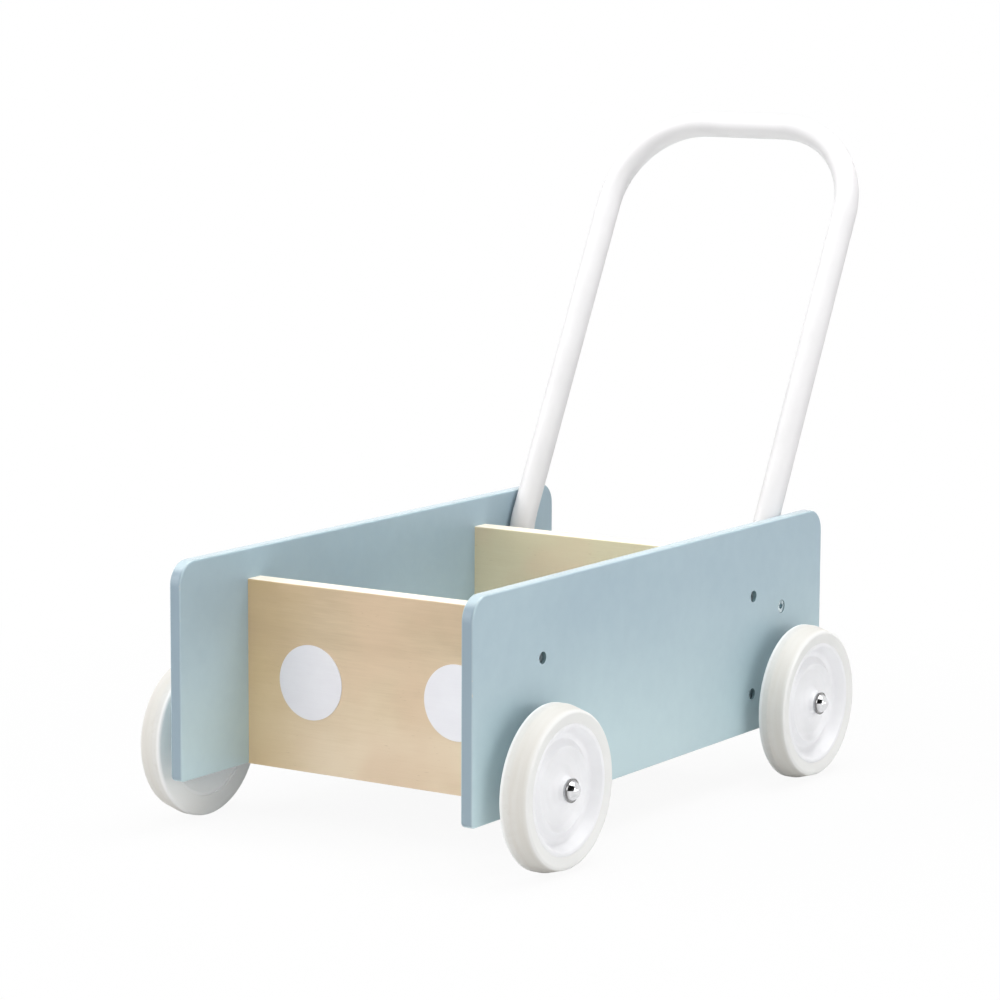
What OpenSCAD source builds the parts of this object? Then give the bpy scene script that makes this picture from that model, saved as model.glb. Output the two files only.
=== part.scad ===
// Baby push walker: a wooden cargo box on four wheels with a bent tube handle.
// Front is -Y, up is +Z, the origin is on the ground under the middle of the walker.

/* [Side panels] */
// Width over both side panels
body_w = 240; // [200:1:300]
// Thickness of a side panel
side_t = 9; // [8:0.5:12]
// Length of a side panel
side_len = 455; // [440:1:520]
// Height of a side panel
side_h = 147.5; // [140:0.5:180]
// Radius of the side panels' upper corners
side_corner_r = 16; // [6:0.5:20]
// Radius of the side panels' lower corners
side_foot_r = 4; // [3.5:0.5:16]
// Rounding of the side panels' edges
side_edge_r = 1.5; // [0.5:0.1:3]

/* [Cargo box] */
// Distance from the sides' front edge to the face of the front panel
front_inset = 73.5; // [66:0.5:90]
// Distance from the sides' rear edge to the back of the rear panel
rear_inset = 91.5; // [85:0.5:140]
// Thickness of the front and rear panels
panel_t = 15; // [12:0.5:18]
// Height of the front and rear panels
panel_h = 127; // [110:0.5:135]
// Rounding of the upper edges of the front and rear panels
panel_edge_r = 1; // [0.5:0.1:2]
// Thickness of the floor panel
floor_t = 6; // [5:0.5:9]
// Height of the floor's underside above the sides' lower edge
floor_up = 14; // [13:0.5:20]
// Width and height of the battens under the floor
cleat_w = 12; // [11:0.5:12.5]
// Diameter of the white discs on the front panel
disc_d = 51; // [30:0.5:60]
// Distance between the centres of the discs
disc_spread = 117.5; // [80:0.5:130]
// Height of the discs' centres above the sides' lower edge
disc_up = 61.5; // [40:0.5:80]
// Thickness of the discs
disc_t = 0.6; // [0.4:0.1:2]

/* [Handle] */
// Outer diameter of the handle tube
tube_d = 18; // [16:0.5:22]
// Wall of the handle tube
tube_wall = 1.5; // [1:0.1:2.5]
// Gap between the back of the rear panel and the upright legs
leg_gap = 23.9; // [14:0.1:30]
// Height of the legs' lower end above the sides' lower edge
leg_up = 26; // [20:1:30]
// Height of the knee above the sides' lower edge
knee_up = 123; // [115:0.5:135]
// Radius of the knee at the tube's centre line
knee_r = 45; // [30:1:60]
// Backward lean of the handle in degrees
lean = 27.25; // [10:0.25:40]
// Height of the top of the hand bar above the ground
handle_h = 461; // [425:1:525]
// Radius of the upper bends at the tube's centre line
bend_r = 68; // [40:0.5:80]

/* [Wheels] */
// Diameter of the tyres
wheel_d = 109; // [104:0.5:118]
// Width of the tyres
tyre_w = 19.5; // [16:0.5:24]
// Width of the flat tread, inboard of the bevelled shoulder
tread_w = 7.5; // [5:0.5:12]
// Depth of the bevelled shoulder
shoulder_h = 3.2; // [2:0.2:6]
// Diameter of the hubs, where the tyres sit on them
hub_d = 82; // [72:0.5:88]
// Gap between a side panel and its tyre
wheel_gap = 15; // [13:0.5:22]
// Height of the axles above the sides' lower edge
axle_up = 18.2; // [17.2:0.2:22]
// Distance from the sides' front edge to the front axle
front_axle_inset = 61.4; // [58:0.2:63]
// Distance from the sides' rear edge to the rear axle
rear_axle_inset = 62.8; // [58:0.2:66]
// Diameter of the axles
axle_d = 8; // [6:0.5:10]
// Diameter of the axle flanges
flange_d = 34; // [31:0.5:34]

/* [Fasteners] */
// Height of the lower panel screws above the sides' lower edge
screw_low = 27; // [26:0.5:40]
// Height of the upper panel screws above the sides' lower edge
screw_high = 97; // [80:0.5:105]
// Shank diameter of the panel screws
screw_d = 4; // [3:0.5:5]
// Head diameter of the panel screws
screw_head_d = 7.6; // [7:0.2:8.2]
// Length of a panel screw under its head
screw_len = 36; // [25:1:45]
// Height of the lower handle bolts above the sides' lower edge
bolt_low = 45; // [43:0.5:50]
// Height of the upper handle bolts above the sides' lower edge
bolt_high = 84; // [70:0.5:90]
// Shank diameter of the handle bolts
bolt_d = 5; // [4:0.5:6]
// Head diameter of the handle bolts
bolt_head_d = 9; // [8:0.2:10]

/* [Hidden] */
$fn = 64;
// Air around loose fits, and the running fit of a hub on its axle
loose = 0.3;
run_fit = 0.08;
// How far the screw and bolt heads sit below the face of a side panel
screw_sink = 2.6;
screw_head_h = 2.4;
bolt_sink = 0.4;
bolt_head_h = 3;
// Short screws of the flanges, battens and floor
pin_d = 3;
pin_head_d = 5.5;
pin_head_h = 1.8;
pin_slot_len = 2.8;
pin_slot_w = 0.7;
pin_bite = 6.5;
// Saddles between the tube and the flat side, and under the nuts
saddle_t = 1;
saddle_w = 14;
nut_d = 9;
nut_h = 4;
nut_collar_d = 7.2;
nut_collar_h = 1.7;
nut_tip_d = 3.6;
nut_tip_h = 1.8;
// Swelling of the knees where the tube is bent, and how far the straight runs reach into them
knee_swell = 0.15;
knee_lap = 1;
plug_depth = 12;
plug_head = 2.5;
// Stack of parts on an axle, from the side panel outwards
flange_t = 3;
boss_d = 16;
flange_ring = 24;
washer_t = 1;
washer_d = 15;
hub_in = 2.5;
hub_out = 18.5;
hub_boss_d = 18;
// Hub, inwards from the rim: a sloping wall, a gutter and a low ridge with a shallow cup inside it
dish_d = 56;
web_in = 7;
rim_lip = 2.2;
rim_proud = 0.5;
gutter_slope = 5.4;
gutter_w = 2.6;
gutter_out = 11;
ring_w = 10;
ring_flank = 4.6;
ring_out = 13.5;
cup_out = 11.6;
// How far the tyres' outer walls slope inwards to the hubs
wall_sink = 1.6;
// Domed caps: how far they reach round the axle, and how deep the dome's centre lies in the flange
cap_flange_w = 3.9;
cap_flange_t = 0.9;
cap_dome_w = 2.7;
cap_dome_sink = 0.8;
cap_grip = 2.6;
tread_round = 1;
wheel_corner = 1;

// Heights: the tyres stand on z = 0
z_side = wheel_d / 2 - axle_up;
z_axle = wheel_d / 2;
z_floor = z_side + floor_up;
// Widths
x_out = body_w / 2;
x_in = x_out - side_t;
x_leg = x_in - saddle_t - tube_d / 2;
// Straight lengths of the handle
bar_up = handle_h - tube_d / 2 - z_side;
leg_run = knee_up - knee_r * tan(lean / 2) - leg_up;
rise_run = (bar_up - leg_up - leg_run - knee_r * sin(lean)) / cos(lean) - bend_r;
bar_reach = knee_r * (1 - cos(lean)) + (rise_run + bend_r) * sin(lean);
// Lengths: the middle of the whole walker is at y = 0
front_most = min(0, front_axle_inset - wheel_d / 2);
leg_back = side_len - rear_inset + leg_gap + tube_d / 2;
rear_most = max(side_len, leg_back + bar_reach + tube_d / 2);
y_edge = -(front_most + rear_most) / 2;
y_front = y_edge + front_inset;
y_rear = y_edge + side_len - rear_inset - panel_t;
y_leg = y_edge + leg_back;
y_box = y_front + panel_t;
box_len = y_rear - y_box;
// The axles' places along the sides
y_axle_front = y_edge + front_axle_inset;
y_axle_rear = y_edge + side_len - rear_axle_inset;
// Axle stack, measured outwards from the face of a side panel
u_boss = wheel_gap - hub_in - loose - washer_t;
u_outer = wheel_gap + hub_out + loose;
u_cap = u_outer + washer_t;

BLUE = "#A9C0C9";
WOOD = "#D6C09A";
WHITE = "#F2F2F0";
STEEL = "#C4C7CA";
CHROME = "#DADDE0";

CORNERS = [
    ["front_left", 1, y_axle_front],
    ["front_right", -1, y_axle_front],
    ["rear_left", 1, y_axle_rear],
    ["rear_right", -1, y_axle_rear],
];

// Draws its children on the left (+X) side, or mirrored on the right
module on_side(side) {
    mirror([side < 0 ? 1 : 0, 0, 0])
        children();
}

// Points the children's +Z axis along +X
module along_x() {
    rotate([0, 90, 0])
        children();
}

// Puts the children on an axle line: z = 0 is the outer face of the side panel, +Z points outwards
module at_axle(corner) {
    on_side(corner[1])
        translate([x_out, corner[2], z_axle])
            along_x()
                children();
}

// Centres of the short screws on an axle flange
function flange_spots() = [for (a = [0, 120, 240]) flange_ring / 2 * [cos(a), sin(a)]];

// Places of the panel screws on one side
function panel_spots(y) = [for (h = [screw_low, screw_high]) [y + panel_t / 2, z_side + h]];

// Places of the handle bolts on one side
function bolt_spots() = [for (h = [bolt_low, bolt_high]) [y_leg, z_side + h]];

// Places along the floor battens
function cleat_spots() = [for (i = [0.1, 0.5, 0.9]) y_box + i * box_len];
function floor_spots() = [for (i = [0.2, 0.6, 0.8]) y_box + i * box_len];

// Cross section of a board: width along X, rounded at both ends of its thickness on one side
module half_section(reach) {
    square([reach - side_edge_r, side_t]);
    translate([0, side_edge_r])
        square([reach, side_t - 2 * side_edge_r]);
    for (y = [side_edge_r, side_t - side_edge_r])
        translate([reach - side_edge_r, y])
            circle(side_edge_r);
}

// Side board in the Y-Z plane with rounded corners and edges, from x = 0 to side_t
module side_board() {
    run_z = side_h - side_corner_r - side_foot_r;
    rotate([90, 0, 90]) {
        for (m = [0, 1], n = [0, 1]) {
            r = n ? side_corner_r : side_foot_r;
            translate([m * side_len, n * side_h, 0])
                mirror([m, 0, 0])
                    mirror([0, n, 0])
                        translate([r, r, 0])
                            rotate([0, 0, 180])
                                rotate_extrude(angle = 90)
                                    half_section(r);
        }
        translate([side_corner_r, side_foot_r, 0])
            cube([side_len - 2 * side_corner_r, run_z, side_t]);
        for (n = [0, 1]) {
            r = n ? side_corner_r : side_foot_r;
            translate([r, n * side_h, 0])
                mirror([0, n, 0])
                    translate([0, r, 0])
                        rotate([90, 0, 90])
                            linear_extrude(side_len - 2 * r)
                                mirror([1, 0, 0])
                                    half_section(r);
        }
        for (m = [0, 1])
            translate([m * side_len, side_foot_r + run_z, 0])
                mirror([m, 0, 0])
                    translate([side_corner_r, 0, 0])
                        rotate([90, 0, 0])
                            linear_extrude(run_z)
                                mirror([1, 0, 0])
                                    half_section(side_corner_r);
    }
}

// Left side board with all its holes; the right one is its mirror image
module side_panel(side) {
    color(BLUE)
        on_side(side)
            difference() {
                translate([x_in, y_edge, z_side])
                    side_board();
                for (p = concat(panel_spots(y_front), panel_spots(y_rear)))
                    translate([x_out, p[0], p[1]])
                        along_x() {
                            translate([0, 0, -screw_sink - screw_head_h])
                                cylinder(h = side_t, d = screw_head_d + 2 * loose);
                            translate([0, 0, -2 * side_t])
                                cylinder(h = 3 * side_t, d = screw_d + loose);
                        }
                for (p = bolt_spots())
                    translate([x_out, p[0], p[1]])
                        along_x() {
                            translate([0, 0, -bolt_sink - bolt_head_h])
                                cylinder(h = side_t, d = bolt_head_d + 2 * loose);
                            translate([0, 0, -2 * side_t])
                                cylinder(h = 3 * side_t, d = bolt_d + loose);
                        }
                for (y = [y_axle_front, y_axle_rear], s = flange_spots())
                    translate([x_out, y, z_axle])
                        along_x()
                            translate([s[0], s[1], -pin_bite])
                                cylinder(h = side_t, d = pin_d);
                for (y = cleat_spots())
                    translate([x_in, y, z_side + floor_up - cleat_w / 2])
                        along_x()
                            translate([0, 0, -side_t])
                                cylinder(h = side_t + pin_bite, d = pin_d);
            }
}

// Cross board between the sides, with rounded upper edges and holes in its end grain
module cross_panel(y) {
    color(WOOD)
        difference() {
            translate([-x_in, y, z_side])
                rotate([90, 0, 90])
                    linear_extrude(2 * x_in) {
                        square([panel_t, panel_h - panel_edge_r]);
                        translate([panel_edge_r, 0])
                            square([panel_t - 2 * panel_edge_r, panel_h]);
                        for (e = [panel_edge_r, panel_t - panel_edge_r])
                            translate([e, panel_h - panel_edge_r])
                                circle(panel_edge_r);
                    }
            for (side = [1, -1], p = panel_spots(y))
                on_side(side)
                    translate([x_out - screw_sink - screw_head_h - screw_len, p[0], p[1]])
                        along_x()
                            cylinder(h = screw_len, d = screw_d);
        }
}

module front_panel() {
    cross_panel(y_front);
}

module rear_panel() {
    cross_panel(y_rear);
}

// White floor board of the cargo box, resting on the battens
module floor_panel() {
    color(WHITE)
        difference() {
            translate([-x_in + loose, y_box + loose, z_floor])
                cube([2 * (x_in - loose), box_len - 2 * loose, floor_t]);
            for (side = [1, -1], y = floor_spots())
                on_side(side)
                    translate([x_in - cleat_w / 2, y, z_floor]) {
                        translate([0, 0, -floor_t])
                            cylinder(h = 3 * floor_t, d = pin_d + loose);
                        translate([0, 0, floor_t - pin_head_h - loose])
                            cylinder(h = floor_t, d = pin_head_d + 2 * loose);
                    }
        }
}

module floor_cleat(side) {
    color(WOOD)
        on_side(side)
            difference() {
                translate([x_in - cleat_w, y_box + loose, z_floor - cleat_w])
                    cube([cleat_w, box_len - 2 * loose, cleat_w]);
                for (y = cleat_spots())
                    translate([x_in - 2 * cleat_w, y, z_floor - cleat_w / 2])
                        along_x()
                            cylinder(h = 3 * cleat_w, d = pin_d + loose);
                for (y = floor_spots())
                    translate([x_in - cleat_w / 2, y, z_floor - pin_bite])
                        cylinder(h = cleat_w, d = pin_d);
            }
}

// Two plain white discs on the face of the front panel
module front_discs() {
    color(WHITE)
        for (side = [1, -1])
            translate([side * disc_spread / 2, y_front, z_side + disc_up])
                rotate([90, 0, 0])
                    cylinder(h = disc_t, d = disc_d);
}

// Socket head screw: the underside of the head is at z = 0, the shank points down
module socket_screw(shank_d, shank_len, head_d, head_h) {
    translate([0, 0, -shank_len])
        cylinder(h = shank_len, d = shank_d);
    difference() {
        cylinder(h = head_h, d = head_d);
        translate([0, 0, head_h / 3])
            cylinder(h = head_h, d = head_d / 2, $fn = 6);
    }
}

// Short round head screw with a cross slot: the underside of the head is at z = 0
module short_screw(shank_len) {
    translate([0, 0, -shank_len])
        cylinder(h = shank_len, d = pin_d);
    difference() {
        cylinder(h = pin_head_h, d = pin_head_d);
        for (a = [0, 90])
            rotate([0, 0, a])
                translate([-pin_slot_len / 2, -pin_slot_w / 2, pin_head_h / 2])
                    cube([pin_slot_len, pin_slot_w, pin_head_h]);
    }
}

module panel_screws(y) {
    color(STEEL)
        for (side = [1, -1], p = panel_spots(y))
            on_side(side)
                translate([x_out - screw_sink - screw_head_h, p[0], p[1]])
                    along_x()
                        socket_screw(screw_d, screw_len, screw_head_d, screw_head_h);
}

module front_panel_screws() {
    panel_screws(y_front);
}

module rear_panel_screws() {
    panel_screws(y_rear);
}

// Through the battens from inside the box into the sides
module cleat_screws() {
    color(STEEL)
        for (side = [1, -1], y = cleat_spots())
            on_side(side)
                translate([x_in - cleat_w, y, z_floor - cleat_w / 2])
                    rotate([0, -90, 0])
                        short_screw(cleat_w + pin_bite);
}

// Down through the floor into the battens, with sunk heads
module floor_screws() {
    color(STEEL)
        for (side = [1, -1], y = floor_spots())
            on_side(side)
                translate([x_in - cleat_w / 2, y, z_floor + floor_t - pin_head_h - loose])
                    short_screw(floor_t - pin_head_h - loose + pin_bite);
}

// Cross section of the handle tube, with its wall thickened on both faces by swell
module tube_ring(swell = 0) {
    difference() {
        circle(d = tube_d + 2 * swell);
        circle(d = tube_d - 2 * (tube_wall + swell));
    }
}

module tube_run(length) {
    linear_extrude(length)
        tube_ring();
}

module tube_bend(radius, angle, swell = 0) {
    rotate_extrude(angle = angle)
        translate([radius, 0])
            tube_ring(swell);
}

// Leaning part of the handle: two runs, two bends and the hand bar; z = 0 is the top of the knees
module handle_loop() {
    for (side = [1, -1])
        translate([side * x_leg, 0, 0]) {
            translate([0, 0, -knee_lap])
                tube_run(rise_run + knee_lap);
            translate([0, 0, rise_run])
                rotate([0, 0, side > 0 ? 0 : 180])
                    translate([-bend_r, 0, 0])
                        rotate([90, 0, 0])
                            tube_bend(bend_r, 90);
        }
    translate([x_leg - bend_r, 0, rise_run])
        translate([0, 0, bend_r])
            rotate([0, -90, 0])
                tube_run(2 * (x_leg - bend_r));
}

// The whole bent tube: upright legs, slightly swollen knees and the leaning loop
module handle_path() {
    translate([0, y_leg, z_side + leg_up]) {
        for (side = [1, -1])
            translate([side * x_leg, 0, 0]) {
                tube_run(leg_run + knee_lap);
                translate([0, knee_r, leg_run])
                    rotate([90, 0, -90])
                        tube_bend(knee_r, lean, knee_swell);
            }
        translate([0, knee_r * (1 - cos(lean)), leg_run + knee_r * sin(lean)])
            rotate([-lean, 0, 0])
                handle_loop();
    }
}

// One bent tube, drilled for the bolts
module handle_tube() {
    color(WHITE)
        difference() {
            handle_path();
            for (side = [1, -1], p = bolt_spots())
                on_side(side)
                    translate([x_leg - tube_d, p[0], p[1]])
                        along_x()
                            cylinder(h = 2 * tube_d, d = bolt_d + loose);
        }
}

// Plugs in the lower ends of the legs
module handle_end_plugs() {
    color(WHITE)
        for (side = [1, -1])
            translate([side * x_leg, y_leg, z_side + leg_up]) {
                translate([0, 0, -plug_head])
                    cylinder(h = plug_head, d = tube_d);
                cylinder(h = plug_depth, d = tube_d - 2 * tube_wall);
            }
}

// Curved seat against the tube: flat at z = 0, the tube's centre line lies along Y above it
module saddle() {
    difference() {
        translate([-saddle_w / 2, -saddle_w / 2, 0])
            cube([saddle_w, saddle_w, saddle_t + tube_d / 4]);
        translate([0, saddle_w, saddle_t + tube_d / 2])
            rotate([90, 0, 0])
                cylinder(h = 2 * saddle_w, d = tube_d);
        translate([0, 0, -saddle_w])
            cylinder(h = 2 * saddle_w, d = bolt_d + loose);
    }
}

module handle_saddles() {
    color(WHITE)
        for (side = [1, -1], p = bolt_spots())
            on_side(side)
                translate([x_in, p[0], p[1]])
                    rotate([90, 0, -90])
                        saddle();
}

module nut_saddles() {
    color(WHITE)
        for (side = [1, -1], p = bolt_spots())
            on_side(side)
                translate([x_leg - tube_d / 2 - saddle_t, p[0], p[1]])
                    rotate([90, 0, 90])
                        saddle();
}

// Bolts through the sides, the saddles and the tube into the nuts
module handle_bolts() {
    head_x = x_out - bolt_sink - bolt_head_h;
    nut_x = x_leg - tube_d / 2 - saddle_t - nut_h;
    color(CHROME)
        for (side = [1, -1], p = bolt_spots())
            on_side(side)
                translate([head_x, p[0], p[1]])
                    along_x()
                        socket_screw(bolt_d, head_x - nut_x, bolt_head_d, bolt_head_h);
}

// Closed hexagon nuts on the inner side of the legs
module handle_cap_nuts() {
    color(CHROME)
        for (side = [1, -1], p = bolt_spots())
            on_side(side)
                translate([x_leg - tube_d / 2 - saddle_t, p[0], p[1]])
                    rotate([0, -90, 0])
                        difference() {
                            union() {
                                cylinder(h = nut_h, d = nut_d, $fn = 6);
                                cylinder(h = nut_h + nut_collar_h, d = nut_collar_d);
                                translate([0, 0, nut_h + nut_collar_h])
                                    cylinder(h = nut_tip_h, d1 = nut_collar_d, d2 = nut_tip_d);
                            }
                            translate([0, 0, -nut_h])
                                cylinder(h = 2 * nut_h, d = bolt_d);
                        }
}

// Flange, shoulder and pin of one stub axle
module stub_axle(corner) {
    color(STEEL)
        at_axle(corner)
            difference() {
                union() {
                    cylinder(h = flange_t, d = flange_d);
                    cylinder(h = u_boss, d = boss_d);
                    cylinder(h = u_cap + cap_grip, d = axle_d);
                }
                for (s = flange_spots())
                    translate([s[0], s[1], -flange_t])
                        cylinder(h = 3 * flange_t, d = pin_d + loose);
            }
}

module axle_flange_screws() {
    color(STEEL)
        for (c = CORNERS, s = flange_spots())
            at_axle(c)
                translate([s[0], s[1], flange_t])
                    short_screw(flange_t + pin_bite);
}

module washer() {
    difference() {
        cylinder(h = washer_t, d = washer_d);
        translate([0, 0, -washer_t])
            cylinder(h = 3 * washer_t, d = axle_d);
    }
}

module inner_washers() {
    color(STEEL)
        for (c = CORNERS)
            at_axle(c)
                translate([0, 0, u_boss])
                    washer();
}

module outer_washers() {
    color(STEEL)
        for (c = CORNERS)
            at_axle(c)
                translate([0, 0, u_outer])
                    washer();
}

// Domed caps pressed on the ends of the axles
module axle_caps() {
    cap_dome_d = axle_d + 2 * cap_dome_w;
    color(CHROME)
        for (c = CORNERS)
            at_axle(c)
                translate([0, 0, u_cap])
                    difference() {
                        union() {
                            cylinder(h = cap_flange_t, d = axle_d + 2 * cap_flange_w);
                            translate([0, 0, -cap_dome_sink])
                                difference() {
                                    sphere(d = cap_dome_d);
                                    translate([0, 0, cap_dome_sink - cap_dome_d])
                                        cylinder(h = cap_dome_d, d = 2 * cap_dome_d);
                                }
                        }
                        translate([0, 0, -cap_grip])
                            cylinder(h = 2 * cap_grip, d = axle_d);
                    }
}

// Dished wheel hub, turned about its axle; z = 0 is the inner face of the tyre
module hub(corner) {
    r = hub_d / 2;
    bore = axle_d / 2 + run_fit;
    boss = hub_boss_d / 2;
    dish = dish_d / 2;
    rim_out = tyre_w - wall_sink + rim_proud;
    ring = r - gutter_slope - gutter_w;
    cup = ring - ring_w;
    color(WHITE)
        at_axle(corner)
            translate([0, 0, wheel_gap])
                rotate_extrude()
                    polygon([
                        [bore, -hub_in], [boss, -hub_in], [boss, web_in], [dish, web_in],
                        [r - rim_lip, wheel_corner], [r, wheel_corner], [r, rim_out],
                        [r - rim_lip / 2, rim_out], [r - gutter_slope, gutter_out], [ring, gutter_out],
                        [ring - ring_flank, ring_out], [cup + ring_flank, ring_out], [cup, cup_out],
                        [boss, cup_out], [boss, hub_out], [bore, hub_out],
                    ]);
}

// Tyre with a flat tread, a bevelled outer shoulder and a wall that slopes in to the hub
module tyre(corner) {
    r = wheel_d / 2;
    color(WHITE)
        at_axle(corner)
            translate([0, 0, wheel_gap])
                rotate_extrude()
                    polygon([
                        [hub_d / 2, 0], [r - tread_round, 0], [r, tread_round], [r, tread_w],
                        [r - shoulder_h, tyre_w - wheel_corner], [r - shoulder_h - wheel_corner, tyre_w],
                        [hub_d / 2, tyre_w - wall_sink],
                    ]);
}

side_panel(1);  // side_panel_left
side_panel(-1);  // side_panel_right
front_panel();
rear_panel();
floor_panel();
floor_cleat(1);  // floor_cleat_left
floor_cleat(-1);  // floor_cleat_right
front_discs();
front_panel_screws();
rear_panel_screws();
cleat_screws();
floor_screws();
handle_tube();
handle_end_plugs();
handle_bolts();
handle_saddles();
nut_saddles();
handle_cap_nuts();
stub_axle(CORNERS[0]);  // stub_axle_front_left
stub_axle(CORNERS[1]);  // stub_axle_front_right
stub_axle(CORNERS[2]);  // stub_axle_rear_left
stub_axle(CORNERS[3]);  // stub_axle_rear_right
axle_flange_screws();
inner_washers();
outer_washers();
axle_caps();
hub(CORNERS[0]);  // hub_front_left
hub(CORNERS[1]);  // hub_front_right
hub(CORNERS[2]);  // hub_rear_left
hub(CORNERS[3]);  // hub_rear_right
tyre(CORNERS[0]);  // tyre_front_left
tyre(CORNERS[1]);  // tyre_front_right
tyre(CORNERS[2]);  // tyre_rear_left
tyre(CORNERS[3]);  // tyre_rear_right
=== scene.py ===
import math

import bmesh
import bpy
from mathutils import Euler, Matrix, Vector


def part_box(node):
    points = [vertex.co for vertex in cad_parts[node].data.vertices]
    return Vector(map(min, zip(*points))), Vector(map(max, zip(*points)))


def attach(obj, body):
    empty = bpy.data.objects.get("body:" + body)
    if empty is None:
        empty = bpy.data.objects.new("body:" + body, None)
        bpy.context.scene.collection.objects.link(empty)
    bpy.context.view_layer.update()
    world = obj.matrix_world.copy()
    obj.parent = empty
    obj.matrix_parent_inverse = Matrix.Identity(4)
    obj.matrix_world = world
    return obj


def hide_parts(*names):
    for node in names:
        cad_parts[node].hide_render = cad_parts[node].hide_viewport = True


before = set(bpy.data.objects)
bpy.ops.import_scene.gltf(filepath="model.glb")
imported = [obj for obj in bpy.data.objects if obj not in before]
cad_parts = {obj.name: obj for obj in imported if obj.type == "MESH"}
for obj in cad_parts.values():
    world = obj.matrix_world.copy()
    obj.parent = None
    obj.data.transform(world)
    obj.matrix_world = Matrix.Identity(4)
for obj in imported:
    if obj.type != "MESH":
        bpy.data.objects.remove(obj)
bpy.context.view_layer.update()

MM = 0.001
CORNERS = ("front_left", "front_right", "rear_left", "rear_right")
scene = bpy.context.scene

# View: the camera stands where the photograph was taken
CAMERA_PLACE = (1.3629, -2.1424, 0.5829)
CAMERA_AZIMUTH = 33.268
CAMERA_ELEVATION = 8.557
CAMERA_ROLL = 0.277
CAMERA_LENS = 131.87
CAMERA_SENSOR = 36
CAMERA_REACH = 100

# Where a finish, painted light and painted shade change, in metres: places on the boards, then radii and
# distances across on the wheels
SIDE_LOW, SIDE_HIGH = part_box("side_panel_left")
SIDE_Y = (SIDE_LOW.y, SIDE_HIGH.y)
SIDE_Z = (SIDE_LOW.z, SIDE_HIGH.z)
PAINTED_BOUNCE_Z = (0.04, 0.17)
PAINT_RIM = (0.006, 0.01)
PAINTED_WOOD_SHADE_Z = (0.05, 0.165)
PAINTED_CORNER_SHADE_X = (-0.04, -0.111)
TREAD_FADE_R = (0.0525, 0.0543)
TREAD_TINT_R = (0.0508, 0.0522)
TREAD_TINT_X = (0.004, 0.009)
TYRE_INSIDE_X = (0.004, 0.001)
HUB_INSIDE_X = (0.009, 0.006)
CAP_DARK_RIM_INNER_R = (0.0058, 0.0072)
CAP_DARK_RIM_OUTER_R = (0.02, 0.015)

# Fine structure: plies in a board's thickness, and turning marks in radians per metre of radius
PLY_LAYERS = 11
MOULD_RING_WAVE = 9000


def rgb(r, g, b):
    """Colour from 0 to 255 sRGB values, as linear RGBA."""
    def linear(v):
        v /= 255
        return v / 12.92 if v <= 0.04045 else ((v + 0.055) / 1.055) ** 2.4
    return (linear(r), linear(g), linear(b), 1.0)


def grey(v):
    """Neutral linear RGBA colour."""
    return (v, v, v, 1.0)


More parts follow.
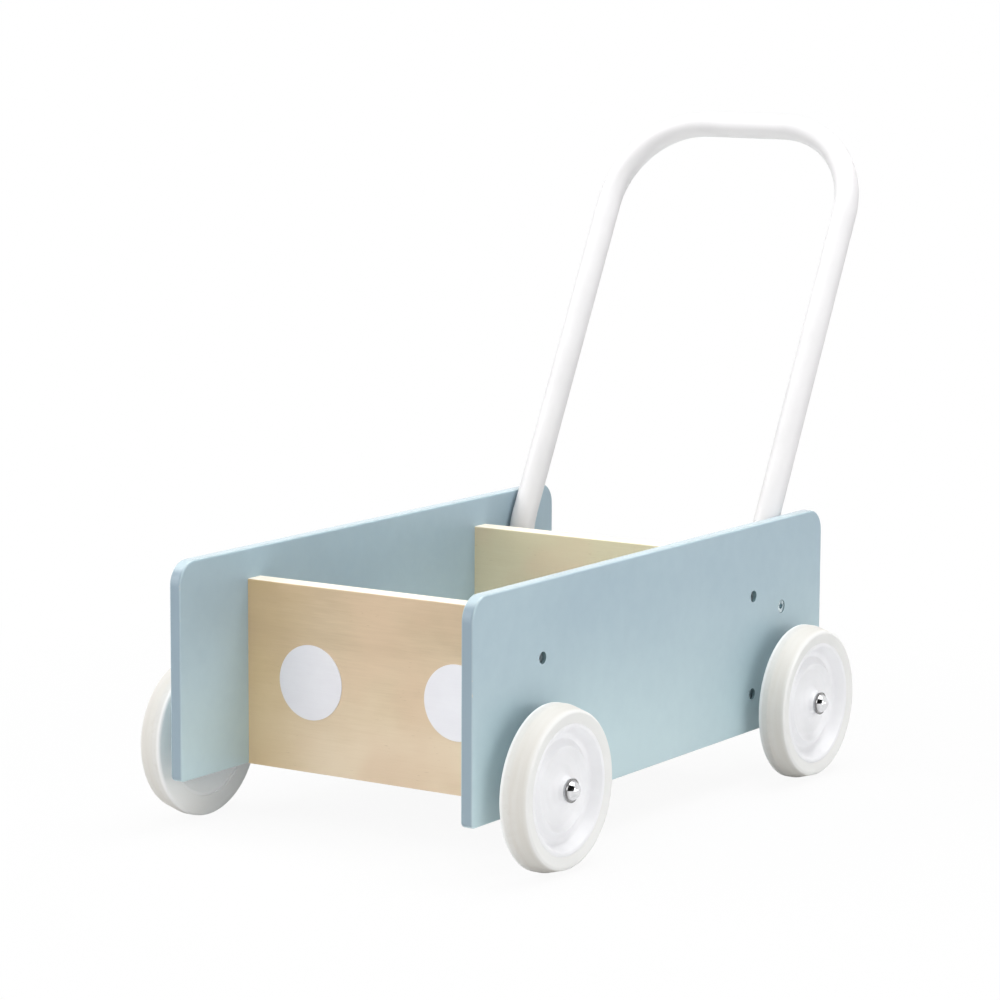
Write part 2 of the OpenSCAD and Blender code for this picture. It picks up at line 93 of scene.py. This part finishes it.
class Shader:
    """One node material. Most methods add nodes and return an output socket."""

    # The mix node's colour sockets share their names with its number sockets, so they are taken by place
    MIX_A, MIX_B, MIX_OUT = 6, 7, 2

    def __init__(self, name, **constants):
        self.mat = bpy.data.materials.new(name)
        self.mat.use_nodes = True
        self.nodes = self.mat.node_tree.nodes
        self.nodes.clear()
        self.bsdf = self.nodes.new("ShaderNodeBsdfPrincipled")
        self.out = self.nodes.new("ShaderNodeOutputMaterial")
        self.join(self.bsdf.outputs["BSDF"], self.out.inputs["Surface"])
        for socket, value in constants.items():
            self.put(self.bsdf.inputs[socket.replace("_", " ")], value)
        self.coords = self.nodes.new("ShaderNodeTexCoord")

    def join(self, a, b):
        self.mat.node_tree.links.new(a, b)

    def put(self, socket, value):
        """Feed a socket from another one or from a constant; None leaves it alone."""
        if isinstance(value, bpy.types.NodeSocket):
            self.join(value, socket)
        elif value is not None:
            socket.default_value = value

    def place(self, stretch=(1, 1, 1), shift=(0, 0, 0)):
        """Object coordinates in metres, stretched and shifted."""
        n = self.nodes.new("ShaderNodeMapping")
        self.join(self.coords.outputs["Object"], n.inputs["Vector"])
        n.inputs["Location"].default_value = shift
        n.inputs["Scale"].default_value = stretch
        return n.outputs["Vector"]

    def parts(self, vector):
        """The X, Y and Z of a vector."""
        n = self.nodes.new("ShaderNodeSeparateXYZ")
        self.join(vector, n.inputs[0])
        return n.outputs

    def facing(self):
        """The X, Y and Z of the surface's normal, in the object's own axes."""
        return self.parts(self.coords.outputs["Normal"])

    def noise(self, vector, scale, detail=3.0, rough=0.5, warp=0.0):
        n = self.nodes.new("ShaderNodeTexNoise")
        self.join(vector, n.inputs["Vector"])
        n.inputs["Scale"].default_value = scale
        n.inputs["Detail"].default_value = detail
        n.inputs["Roughness"].default_value = rough
        n.inputs["Distortion"].default_value = warp
        return n.outputs["Fac"]

    def math(self, op, a, b=None, clamp=False):
        n = self.nodes.new("ShaderNodeMath")
        n.operation = op
        n.use_clamp = clamp
        self.put(n.inputs[0], a)
        self.put(n.inputs[1], b)
        return n.outputs[0]

    def absolute(self, value):
        return self.math("ABSOLUTE", value)

    def times(self, a, b, clamp=False):
        return self.math("MULTIPLY", a, b, clamp)

    def plus(self, a, b):
        return self.math("ADD", a, b)

    def weighted(self, *pairs):
        """Sum of (value, weight) pairs."""
        total = self.times(*pairs[0])
        for value, weight in pairs[1:]:
            total = self.plus(total, self.times(value, weight))
        return total

    def radius(self, y, z):
        """Distance from an axle along X."""
        return self.math("SQRT", self.plus(self.times(y, y), self.times(z, z)))

    def span(self, value, low, high, to_low=0.0, to_high=1.0):
        """A smooth step from to_low at low to to_high at high."""
        n = self.nodes.new("ShaderNodeMapRange")
        n.interpolation_type = "SMOOTHSTEP"
        self.put(n.inputs["Value"], value)
        n.inputs["From Min"].default_value = low
        n.inputs["From Max"].default_value = high
        n.inputs["To Min"].default_value = to_low
        n.inputs["To Max"].default_value = to_high
        return n.outputs["Result"]

    def vary(self, noise, low, high):
        """A value that wanders from low to high with the noise."""
        return self.span(noise, 0.3, 0.7, low, high)

    def ramp(self, fac, *stops):
        """Colour ramp with stops of (place, colour)."""
        n = self.nodes.new("ShaderNodeValToRGB")
        for i, (place, colour) in enumerate(stops):
            e = n.color_ramp.elements
            stop = e[i] if i < len(e) else e.new(place)
            stop.position = place
            stop.color = colour
        self.join(fac, n.inputs["Fac"])
        return n.outputs["Color"]

    def tone(self, noise, low, high):
        """A colour that wanders from low to high with the noise."""
        return self.ramp(noise, (0.35, low), (0.65, high))

    def mix(self, fac, a, b):
        """Colour a where fac is 0, b where it is 1."""
        n = self.nodes.new("ShaderNodeMix")
        n.data_type = "RGBA"
        self.put(n.inputs["Factor"], fac)
        self.put(n.inputs[self.MIX_A], a)
        self.put(n.inputs[self.MIX_B], b)
        return n.outputs[self.MIX_OUT]

    def bump(self, height, strength, depth, under=None):
        """A bumpy normal; under is another bump that it lies on."""
        n = self.nodes.new("ShaderNodeBump")
        n.inputs["Strength"].default_value = strength
        n.inputs["Distance"].default_value = depth
        self.join(height, n.inputs["Height"])
        self.put(n.inputs["Normal"], under)
        return n.outputs["Normal"]

    def finish(self, colour=None, rough=None, normal=None):
        """Feed the surface and return the material."""
        self.put(self.bsdf.inputs["Base Color"], colour)
        self.put(self.bsdf.inputs["Roughness"], rough)
        self.put(self.bsdf.inputs["Normal"], normal)
        return self.mat


def blue_paint():
    """Satin paint on board: a little cloudy and chipped along the edges, with painted light and shade: paler
    near the bottom, on top faces and on the rounded edges (thin paint there too), dark in the holes.
    """
    s = Shader("blue_paint_satin", Specular_IOR_Level=0.5)
    here = s.place()
    where = s.parts(here)
    facing = s.facing()
    cloud = s.noise(here, 5, 2)
    mottle = s.noise(here, 85, 4, 0.6)
    blend = s.weighted((cloud, 0.3), (mottle, 0.12))
    # Painted light: the paint is mixed paler towards the bottom of the board, standing in for light bounced
    # up from the floor
    blend = s.plus(blend, s.span(where[2], *PAINTED_BOUNCE_Z, 0.47, 0.13))
    colour = s.ramp(blend, (0.3, rgb(160, 182, 194)), (0.7, rgb(190, 212, 217)))
    end = s.span(s.absolute(facing[1]), 0.55, 0.9)
    colour = s.mix(s.times(end, 0.9), colour, rgb(140, 159, 172))
    # Painted highlight: faces turned upwards are mixed towards a paler blue for the strong top light; the
    # same mask also lowers the roughness
    up = s.span(facing[2], 0.5, 0.9)
    colour = s.mix(s.times(up, 0.42), colour, rgb(208, 223, 227))
    sideways = s.absolute(facing[0])
    edge = s.times(s.span(sideways, 0.12, 0.5), s.span(sideways, 0.97, 0.75), clamp=True)
    # The rounded edges are mixed paler all along: partly thin paint on the arris, partly a painted highlight
    # on the rounding
    colour = s.mix(s.times(edge, 0.35), colour, rgb(194, 212, 217))
    chips = s.span(s.noise(here, 150, 5, 0.65), 0.62, 0.72)
    colour = s.mix(s.times(s.times(chips, edge), 0.55), colour, rgb(214, 208, 192))
    # Painted shade: the walls of the holes, away from the board's rim, are mixed to a dark blue-grey for the
    # shade inside them
    painted_hole_shade = s.span(sideways, 0.7, 0.4)
    rim_start, rim_end = PAINT_RIM
    for value, low, high in ((where[1], *SIDE_Y), (where[2], *SIDE_Z)):
        past_low = s.span(value, low + rim_start, low + rim_end)
        before_high = s.span(value, high - rim_start, high - rim_end)
        painted_hole_shade = s.times(painted_hole_shade, s.times(past_low, before_high))
    colour = s.mix(painted_hole_shade, colour, rgb(120, 144, 150))
    rough = s.vary(s.noise(here, 30, 4), 0.3, 0.38)
    rough = s.math("SUBTRACT", rough, s.times(up, 0.12))
    grain = s.noise(s.place((60, 4, 60)), 14, 3)
    peel = s.noise(here, 900, 2)
    normal = s.bump(peel, 0.07, 0.0004, s.bump(grain, 0.025, 0.0004))
    return s.finish(colour, rough, normal)


BIRCH = ((203, 181, 150), (226, 205, 174), (237, 218, 190))
# The rear panel's birch is a paler, greener copy of BIRCH: painted light standing in for the bluish bounce
# light inside the box
BIRCH_PAINTED_BOUNCE = ((220, 210, 177), (229, 221, 190), (234, 228, 200))


def veneer(name, thick, start, tones, painted_corner_shade=0.0):
    """Pale birch plywood with its grain along X; start is the Y where the board's thickness begins."""
    s = Shader(name, Specular_IOR_Level=0.32)
    here = s.place()
    where = s.parts(here)
    broad = s.noise(s.place((3.2, 9, 9), (0.31, start, 0.7)), 3.0, 4, 0.55, 0.5)
    streak = s.noise(s.place((10, 130, 130), (start, 0.2, 0.4)), 2.2, 4, 0.6, 0.25)
    fine = s.noise(s.place((34, 900, 900)), 1.6, 3, 0.6)
    body = s.weighted((broad, 0.4), (streak, 0.14), (fine, 0.16))
    # Painted shade: the grain is shifted darker towards the top of the board and lighter low on it, for the
    # fall of the light
    body = s.plus(body, s.span(where[2], *PAINTED_WOOD_SHADE_Z, 0.29, -0.1))
    dark, middle, light = (rgb(*tone) for tone in tones)
    colour = s.ramp(body, (0.26, dark), (0.5, middle), (0.68, light))
    # Painted shade: towards the far side panel the face is mixed to a deeper yellow, for the shade and warm
    # bounce light in that corner
    if painted_corner_shade:
        colour = s.mix(s.span(where[0], *PAINTED_CORNER_SHADE_X, 0.0, painted_corner_shade), colour, rgb(236, 202, 142))
    blush = s.noise(here, 16, 2)
    colour = s.mix(s.span(blush, 0.4, 0.68, 0.0, 0.45), colour, rgb(226, 197, 168))
    fleck = s.noise(s.place((150, 1150, 1150), (0.1, 0.2, start)), 1.0, 2, 0.5)
    patch = s.noise(here, 38, 2)
    flecked = s.times(s.span(fleck, 0.66, 0.76), s.span(patch, 0.42, 0.6))
    colour = s.mix(s.times(flecked, 0.34), colour, rgb(168, 140, 104))
    rim = s.span(s.absolute(s.facing()[1]), 0.75, 0.45)
    depth = s.times(s.math("SUBTRACT", where[1], start), PLY_LAYERS / thick)
    wave = s.math("SINE", s.times(depth, math.pi))
    pores = s.noise(s.place((420, 160, 420)), 1.0, 3)
    band = s.weighted((wave, 0.34), (pores, 0.55))
    # The ply edges show pale layered bands, made near white, which also paints the highlight of the top
    # light along the top edges
    ply = s.ramp(band, (0.05, rgb(234, 222, 200)), (0.6, rgb(249, 246, 237)))
    colour = s.mix(rim, colour, ply)
    normal = s.bump(fine, 0.12, 0.0004, s.bump(streak, 0.05, 0.0006))
    return s.finish(colour, s.vary(streak, 0.5, 0.62), normal)


def batten_wood():
    """Planed softwood battens with their grain along Y."""
    s = Shader("batten_softwood", Specular_IOR_Level=0.3)
    rings = s.noise(s.place((55, 2.5, 55)), 2.4, 4, 0.6, 0.8)
    fine = s.noise(s.place((900, 30, 900)), 1.5, 3)
    body = s.weighted((rings, 0.75), (fine, 0.25))
    colour = s.tone(body, rgb(188, 158, 116), rgb(220, 196, 156))
    return s.finish(colour, s.vary(rings, 0.55, 0.7), s.bump(fine, 0.15, 0.0004))


def white_paint(name, low, high):
    """Thin flat white paint on wood, with the grain just showing through."""
    s = Shader(name, Specular_IOR_Level=0.35)
    fine = s.noise(s.place((34, 900, 900)), 1.6, 3, 0.6)
    cloud = s.noise(s.place(), 40, 3)
    colour = s.tone(s.weighted((cloud, 0.7), (fine, 0.3)), low, high)
    return s.finish(colour, s.vary(cloud, 0.5, 0.6), s.bump(fine, 0.1, 0.0004))


def powder_coat(name, low, high, rough, peel_scale):
    """White coating with a fine orange peel, with painted light making it whiter underneath."""
    s = Shader(name, Specular_IOR_Level=0.45)
    here = s.place()
    peel = s.noise(here, peel_scale, 2)
    colour = s.tone(s.noise(here, 22, 4), low, high)
    # Painted light: faces turned to the floor are mixed whiter, standing in for light bounced up from it
    painted_underside_light = s.span(s.facing()[2], -0.2, -0.8)
    colour = s.mix(s.times(painted_underside_light, 0.55), colour, rgb(250, 250, 250))
    return s.finish(colour, s.vary(s.noise(here, 60, 3), *rough), s.bump(peel, 0.1, 0.0004))


def tyre_rubber():
    """Soft white rubber: slightly warm, scuffed and tinted darker on the tread, with faint moulding bands
    and painted light on the inner face.
    """
    s = Shader("tyre_white_rubber", Specular_IOR_Level=0.3)
    here = s.place()
    x, y, z = s.parts(here)
    across = s.absolute(x)
    far = s.radius(y, z)
    cloud = s.noise(here, 34, 4, 0.6)
    bands = s.noise(s.place((300, 24, 24)), 1.0, 2, 0.5)
    body = s.weighted((cloud, 0.6), (bands, 0.4))
    colour = s.ramp(body, (0.34, rgb(232, 232, 230)), (0.5, rgb(235, 235, 233)),
                    (0.66, rgb(238, 238, 236)))
    scuff = s.span(s.noise(here, 210, 5, 0.65), 0.5, 0.72)
    scuffed = s.times(s.span(far, *TREAD_FADE_R), scuff)
    colour = s.mix(s.times(scuffed, 0.3), colour, rgb(205, 201, 192))
    # The tread and its bevel are mixed darker and warmer, more towards the outer face and in moulding bands
    tread_tint = s.times(s.span(far, *TREAD_TINT_R), s.span(across, *TREAD_TINT_X, 0.55, 1.0))
    tread_tint = s.times(tread_tint, s.span(bands, 0.25, 0.75, 0.6, 0.8))
    colour = s.mix(tread_tint, colour, rgb(210, 206, 198))
    # Painted light: the tyre's inner face is mixed near white, lifting it out of the shade beneath the body
    colour = s.mix(s.span(across, *TYRE_INSIDE_X), colour, rgb(250, 250, 249))
    pores = s.noise(here, 650, 3)
    return s.finish(colour, s.vary(cloud, 0.58, 0.72), s.bump(pores, 0.1, 0.0004))


def hub_plastic():
    """Moulded white plastic with faint rings left by the turned mould."""
    s = Shader("hub_white_plastic", Specular_IOR_Level=0.45)
    here = s.place()
    x, y, z = s.parts(here)
    rings = s.math("SINE", s.times(s.radius(y, z), MOULD_RING_WAVE))
    colour = s.tone(s.noise(here, 48, 3), rgb(237, 237, 239), rgb(242, 242, 244))
    # Painted light: the hub's inner side is mixed near white, lifting it out of the shade beneath the body
    colour = s.mix(s.span(s.absolute(x), *HUB_INSIDE_X), colour, rgb(252, 252, 252))
    normal = s.bump(s.noise(here, 700, 2), 0.06, 0.0003, s.bump(rings, 0.02, 0.0002))
    return s.finish(colour, s.vary(s.noise(here, 90, 3), 0.4, 0.5), normal)


def metal(name, low, high, rough, stretch, mark, axles=()):
    """Bare or plated metal with fine tool marks, and a painted dark reflection in a ring round each of the
    axles (y, z).
    """
    s = Shader(name, Metallic=1.0)
    here = s.place()
    where = s.parts(here)
    marks = s.noise(s.place(stretch), 1.0, 4, 0.6)
    colour = s.tone(s.noise(here, 300, 3), low, high)
    # Painted reflection: a dark ring round each axle darkens the cap's rim, standing in for the dark
    # reflection there
    for y, z in axles:
        far = s.radius(s.math("SUBTRACT", where[1], y), s.math("SUBTRACT", where[2], z))
        ring = s.times(s.span(far, *CAP_DARK_RIM_INNER_R), s.span(far, *CAP_DARK_RIM_OUTER_R))
        colour = s.mix(s.times(ring, 0.75), colour, rgb(92, 90, 87))
    return s.finish(colour, s.vary(marks, *rough), s.bump(marks, mark, 0.0002))


# Finishes by material slot, and those of single nodes
lo_front, hi_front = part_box("front_panel")
lo_rear, hi_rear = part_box("rear_panel")
WHEELS = [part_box("tyre_" + corner) for corner in ("front_left", "rear_left")]
AXLES = [((low.y + high.y) / 2, (low.z + high.z) / 2) for low, high in WHEELS]
FINISH = {
    "blue_paint": blue_paint(),
    "batten_wood": batten_wood(),
    "white_paint": white_paint("white_disc_paint", rgb(241, 239, 244), rgb(246, 245, 249)),
    "white_powder_coat": powder_coat(
        "handle_powder_coat", rgb(219, 218, 219), rgb(224, 223, 224), (0.34, 0.44), 1100),
    "white_fittings": powder_coat(
        "fittings_white_plastic", rgb(228, 228, 230), rgb(236, 236, 238), (0.45, 0.55), 700),
    "zinc_screw": metal(
        "zinc_plate", rgb(172, 180, 184), rgb(204, 210, 213), (0.32, 0.4), (900, 900, 900), 0.12),
    "chrome": metal(
        "bright_chrome", rgb(214, 214, 216), rgb(228, 228, 230), (0.05, 0.11), (500, 500, 500), 0.02,
        AXLES),
    "axle_steel": metal(
        "turned_steel", rgb(176, 178, 182), rgb(200, 202, 206), (0.28, 0.4), (5200, 90, 90), 0.1),
}
BY_NODE = {
    "front_panel": veneer("plywood_front", hi_front.y - lo_front.y, lo_front.y, BIRCH, 0.5),
    "rear_panel": veneer("plywood_rear", hi_rear.y - lo_rear.y, lo_rear.y, BIRCH_PAINTED_BOUNCE),
    "floor_panel": white_paint("floor_board_paint", rgb(225, 227, 230), rgb(229, 231, 234)),
    "handle_bolts": metal(
        "bolt_plate", rgb(138, 158, 166), rgb(206, 220, 224), (0.22, 0.34), (900, 900, 900), 0.16),
}
for name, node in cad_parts.items():
    slot = node.data.materials[0].name
    finish = BY_NODE.get(name) or FINISH.get(slot)
    if finish:
        node.data.materials[0] = finish


def rounded(points, steps=6):
    """Closed outline of (r, u, corner radius) points with each corner turned into an arc."""
    out = []
    n = len(points)
    for i, (r, u, corner) in enumerate(points):
        here = Vector((r, u))
        before = Vector(points[i - 1][:2]) - here
        after = Vector(points[(i + 1) % n][:2]) - here
        half = math.tan(before.angle(after) / 2)
        reach = min(corner / half, before.length * 0.49, after.length * 0.49)
        if reach < 1e-4:
            out.append((here.x, here.y))
            continue
        inwards = (before.normalized() + after.normalized()).normalized()
        middle = here + inwards * math.hypot(reach, reach * half)
        a = here + before.normalized() * reach - middle
        b = here + after.normalized() * reach - middle
        turn = a.angle_signed(b)
        for k in range(steps + 1):
            t = -turn * k / steps
            x = a.x * math.cos(t) - a.y * math.sin(t)
            y = a.x * math.sin(t) + a.y * math.cos(t)
            out.append((middle.x + x, middle.y + y))
    return out


def turned(name, outline, axle, side, segments=144, sharp=42):
    """Solid of revolution about X through axle; the outline's u runs outwards from the tyre's inner face."""
    bm = bmesh.new()
    angles = [2 * math.pi * k / segments for k in range(segments)]
    rings = []
    for r, u in outline:
        places = [(side * u * MM, r * MM * math.cos(a), r * MM * math.sin(a)) for a in angles]
        rings.append([bm.verts.new(place) for place in places])
    for i, ring in enumerate(rings):
        other = rings[(i + 1) % len(rings)]
        for k in range(segments):
            j = (k + 1) % segments
            bm.faces.new((ring[k], ring[j], other[j], other[k]))
    bmesh.ops.recalc_face_normals(bm, faces=bm.faces)
    mesh = bpy.data.meshes.new(name)
    bm.to_mesh(mesh)
    bm.free()
    mesh.shade_smooth()
    obj = bpy.data.objects.new(name, mesh)
    obj.location = axle
    scene.collection.objects.link(obj)
    mesh.set_sharp_from_angle(angle=math.radians(sharp))
    return obj


# Wheels: the turned outlines follow the solids, with moulded roundings, in millimetres
BORE_R = 4.08
BOSS_R = 9
SEAT_R = 41
TREAD_R = 54.5
HUB_BACK = -2.5
HUB_FRONT = 18.5
WEB_BACK = 7
TYRE = [
    # Inner face, tread and bevel
    (SEAT_R, 0, 0.4), (TREAD_R, 0, 1.8), (TREAD_R, 7.2, 5), (51.5, 18.2, 2),
    # Outer face and the step that takes the hub's lip
    (50, 19.5, 2.2), (42.9, 18.2, 0.5), (42.5, 17.5, 0.2), (SEAT_R, 17.5, 0.1),
]
HUB = [
    # Back: boss, web and rim
    (BORE_R, HUB_BACK, 0.2), (BOSS_R, HUB_BACK, 0.5), (BOSS_R, WEB_BACK, 1), (28, WEB_BACK, 1.5),
    (38.8, 1, 0.5), (SEAT_R, 1, 0.3),
    # Lip over the tyre
    (SEAT_R, 17.6, 0.1), (42.6, 17.6, 0.1), (42.85, 18.16, 0.1), (41.6, 18.6, 1.4), (40, 18.3, 1.2),
    # Front: gutter, ridge and cup
    (35.8, 10.8, 3), (32.6, 10.6, 1.6), (27.9, 14.4, 0.9), (23.6, 11.6, 3), (16.5, 11.3, 5),
    # Nose
    (12, 12.4, 4), (8.9, 15.4, 2), (7.7, HUB_FRONT, 0.5), (BORE_R, HUB_FRONT, 0.2),
]
WHEEL_PIECES = {
    "tyre": (rounded(TYRE), tyre_rubber(), "tyre_rubber"),
    "hub": (rounded(HUB), hub_plastic(), "hub_plastic"),
}
for corner in CORNERS:
    low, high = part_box("tyre_" + corner)
    side = 1 if corner.endswith("left") else -1
    axle = (low.x if side > 0 else high.x, (low.y + high.y) / 2, (low.z + high.z) / 2)
    for part, (outline, finish, slot) in WHEEL_PIECES.items():
        piece = turned(f"{part}_{corner}_moulded", outline, axle, side)
        piece.data.materials.append(finish)
        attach(piece, "wheel_" + corner)
        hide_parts(f"{part}_{corner}")

# Stage: a white floor that fades into a white surround
FLOOR_HALF = 6.0
FLOOR_DROP = 0.0002
GLOW_FADE = (0.25, 0.75)
GLOW_SHARE = (0.93, 1.0)


def flat_board(name, half_x, half_y):
    """Level rectangle about the origin."""
    mesh = bpy.data.meshes.new(name)
    corners = [(x * half_x, y * half_y, 0) for x, y in ((-1, -1), (1, -1), (1, 1), (-1, 1))]
    mesh.from_pydata(corners, [], [(0, 1, 2, 3)])
    obj = bpy.data.objects.new(name, mesh)
    scene.collection.objects.link(obj)
    return obj


floor = flat_board("floor", 1, 1)
floor.scale = (FLOOR_HALF, FLOOR_HALF, 1)
floor.location.z = -FLOOR_DROP


def seen_directly(tree):
    """1 for rays from the camera, a mirror or glass, else 0."""
    path = tree.nodes.new("ShaderNodeLightPath")
    total = path.outputs["Is Camera Ray"]
    for name in ("Is Glossy Ray", "Is Transmission Ray"):
        add = tree.nodes.new("ShaderNodeMath")
        add.operation = "MAXIMUM"
        tree.links.new(total, add.inputs[0])
        tree.links.new(path.outputs[name], add.inputs[1])
        total = add.outputs[0]
    return total


def mixed(tree, share, first, second):
    """The first shader where share is 0, the second where it is 1."""
    mix = tree.nodes.new("ShaderNodeMixShader")
    for i, socket in enumerate((share, first, second)):
        tree.links.new(socket, mix.inputs[i])
    return mix.outputs[0]


def floor_material():
    """White floor: paint that bounces light, glowing white in view but for the object's soft shadow."""
    s = Shader("floor_white", Specular_IOR_Level=0.0, Roughness=1.0)
    s.finish(s.ramp(s.noise(s.place(), 30, 3), (0.4, grey(0.7)), (0.6, grey(0.72))))
    glow = s.nodes.new("ShaderNodeEmission")
    geometry = s.nodes.new("ShaderNodeNewGeometry")
    length = s.nodes.new("ShaderNodeVectorMath")
    length.operation = "LENGTH"
    s.join(geometry.outputs["Position"], length.inputs[0])
    tree = s.mat.node_tree
    share = s.times(s.span(length.outputs["Value"], *GLOW_FADE, *GLOW_SHARE), seen_directly(tree))
    s.join(mixed(tree, share, s.bsdf.outputs[0], glow.outputs[0]), s.out.inputs["Surface"])
    return s.mat


floor.data.materials.append(floor_material())

# Light: a weak pale surround that looks white, and softboxes above, in front and at both sides
AMBIENT = 0.08
AIM = (0, 0, 0.15)


def studio_world():
    """Weak light from all round; rays that look at it directly see white."""
    world = bpy.data.worlds.new("studio")
    world.use_nodes = True
    tree = world.node_tree
    tree.nodes.clear()
    soft = tree.nodes.new("ShaderNodeBackground")
    white = tree.nodes.new("ShaderNodeBackground")
    for background in (soft, white):
        background.inputs["Color"].default_value = grey(1)
    soft.inputs["Strength"].default_value = AMBIENT
    surround = mixed(tree, seen_directly(tree), soft.outputs[0], white.outputs[0])
    tree.links.new(surround, tree.nodes.new("ShaderNodeOutputWorld").inputs[0])
    return world


def softbox(name, place, size, energy):
    """Area lamp that shines at the object."""
    data = bpy.data.lights.new(name, "AREA")
    data.shape = "RECTANGLE"
    data.size, data.size_y = size
    data.energy = energy
    lamp = bpy.data.objects.new(name, data)
    lamp.location = place
    lamp.rotation_euler = (Vector(AIM) - Vector(place)).to_track_quat("-Z", "Y").to_euler()
    scene.collection.objects.link(lamp)


def dark_card(name, place, size):
    """Matt black board that only mirrors see; it gives the chrome something dark to reflect."""
    board = flat_board(name, size[0] / 2, size[1] / 2)
    board.location = place
    board.rotation_euler = (Vector(AIM) - Vector(place)).to_track_quat("Z", "Y").to_euler()
    board.visible_camera = False
    board.visible_diffuse = False
    board.visible_shadow = False
    board.visible_transmission = False
    board.visible_volume_scatter = False
    s = Shader(name + "_black", Specular_IOR_Level=0.0, Roughness=1.0)
    black = s.ramp(s.noise(s.place(), 8), (0.4, grey(0.01)), (0.6, grey(0.02)))
    board.data.materials.append(s.finish(black))


scene.world = studio_world()
softbox("overhead", (0.2, -0.1, 2.2), (2.4, 2.4), 28.5)
softbox("top_small", (0.3, 0.3, 1.6), (1.0, 1.0), 12.5)
softbox("front_high", (0.0, -2.2, 1.9), (1.6, 1.6), 14)
softbox("front_left", (-1.7, -2.3, 1.0), (1.6, 1.6), 24.5)
softbox("left_high", (-2.2, -0.6, 1.8), (1.6, 1.6), 28)
softbox("near_side", (2.4, -0.85, 0.9), (1.6, 1.2), 18)
softbox("near_low", (2.2, 0.1, 0.3), (2.4, 0.5), 7)
dark_card("card_camera", (0.6, -1.25, 1.0), (3.6, 1.9))

# Camera
camera_data = bpy.data.cameras.new("camera")
camera_data.lens = CAMERA_LENS
camera_data.sensor_width = CAMERA_SENSOR
camera_data.clip_end = CAMERA_REACH
camera = bpy.data.objects.new("camera", camera_data)
camera.location = CAMERA_PLACE
tilt = Euler((math.radians(90 - CAMERA_ELEVATION), 0, math.radians(CAMERA_AZIMUTH)), "XYZ").to_matrix()
roll = Euler((0, 0, math.radians(CAMERA_ROLL)), "XYZ").to_matrix()
camera.rotation_euler = (tilt @ roll).to_euler()
scene.collection.objects.link(camera)
scene.camera = camera
scene.view_settings.view_transform = "Standard"
